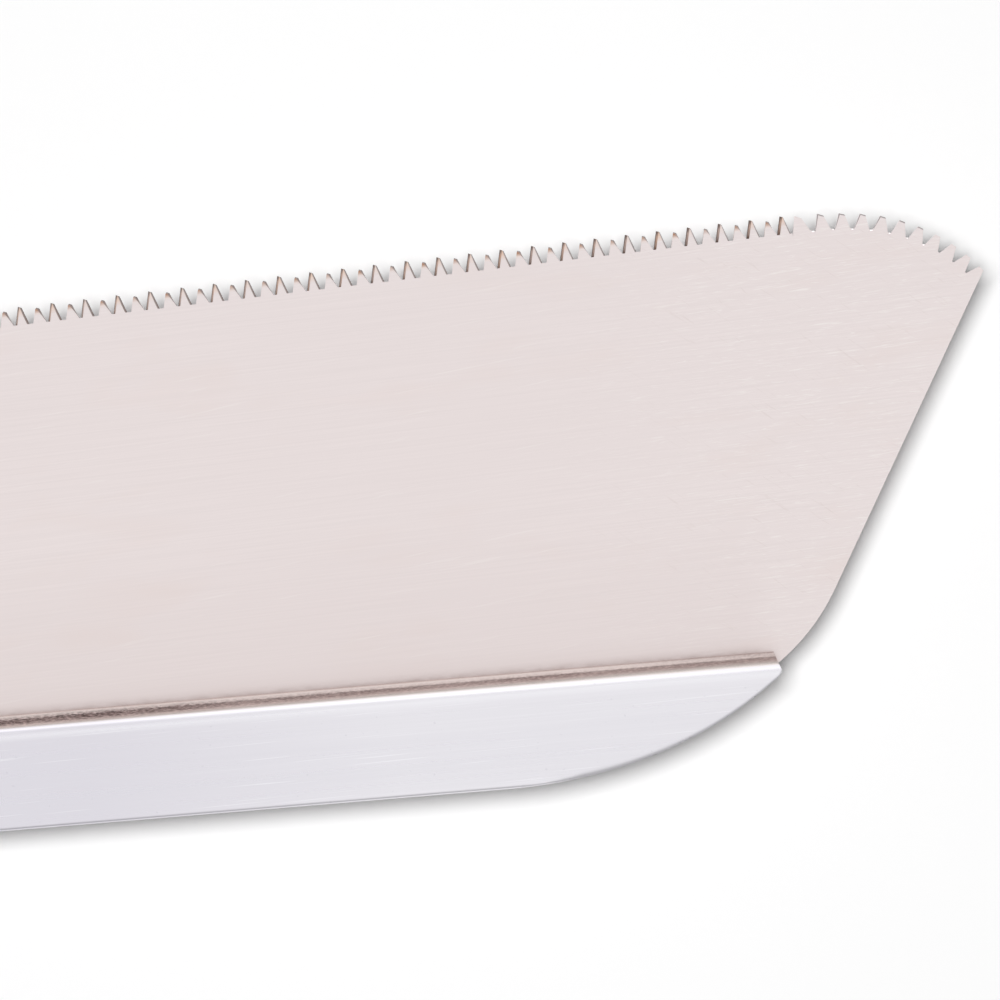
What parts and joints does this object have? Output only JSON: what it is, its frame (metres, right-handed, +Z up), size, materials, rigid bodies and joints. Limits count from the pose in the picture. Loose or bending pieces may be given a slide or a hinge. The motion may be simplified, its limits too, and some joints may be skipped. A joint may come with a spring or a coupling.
{
  "type": "folding dozuki saw",
  "caption": "Folding back saw: thin toothed steel plate stiffened by a light-alloy spine, turning on a pivot into a slotted rubber handle, held by a sprung lock lever.",
  "frame": {"origin": "middle of the open saw's box along X and Y, on the surface that its right side rests on", "axes": "+X along the open blade to its toe, +Y from the spine to the teeth, +Z up through the thickness, out of the left side"},
  "size_m": [0.538, 0.0485, 0.0216],
  "materials": {
    "saw_steel": "satin, ground lengthwise",
    "spine_alloy": "satin, drawn",
    "tang_steel": "satin",
    "liner_alloy": "tumbled",
    "bolster_alloy": "satin, powder coated",
    "grip_rubber": "fine moulded grain",
    "spacer_nylon": "moulded, matt",
    "bronze": "turned",
    "fastener_steel": "turned, zinc plated",
    "spring_steel": "tempered",
    "lever_steel": "blackened",
    "pad_rubber": "ribbed, matt"
  },
  "bodies": {
    "handle": {"left_liner": "liner_alloy", "right_liner": "liner_alloy", "left_bolster": "bolster_alloy", "right_bolster": "bolster_alloy", "left_grip": "grip_rubber", "right_grip": "grip_rubber", "back_spacer": "spacer_nylon", "butt_spacer": "spacer_nylon", "hang_eyelet": "fastener_steel", "pivot_bolt": "fastener_steel", "pivot_nut": "fastener_steel", "thrust_washers": "bronze", "stop_pin": "fastener_steel", "lever_pin": "fastener_steel", "lock_spring": "spring_steel", "handle_screws": "fastener_steel", "handle_nuts": "fastener_steel", "bolster_screws": "fastener_steel"},
    "blade": {"saw_plate": "saw_steel", "spine": "spine_alloy", "spine_rivets": "spine_alloy", "left_tang_cheek": "tang_steel", "right_tang_cheek": "tang_steel", "tang_rivets": "tang_steel", "pivot_bush": "bronze"},
    "lock_lever": {"lock_lever": "lever_steel", "thumb_pad": "pad_rubber"}
  },
  "joints": [
    {"name": "blade_fold", "type": "hinge", "parent": "handle", "child": "blade", "pos_m": [0.011, 0.00245, 0.0108], "axis": [0, 0, 1], "range_deg": [0, 178]},
    {"name": "lock_press", "type": "hinge", "parent": "handle", "child": "lock_lever", "pos_m": [-0.0095, -0.01615, 0.0108], "axis": [0, 0, 1], "range_deg": [0, 8.5], "stiffness_Nm_per_rad": 0.6, "springref_deg": 14.32, "deforming": ["lock_spring"]}
  ]
}
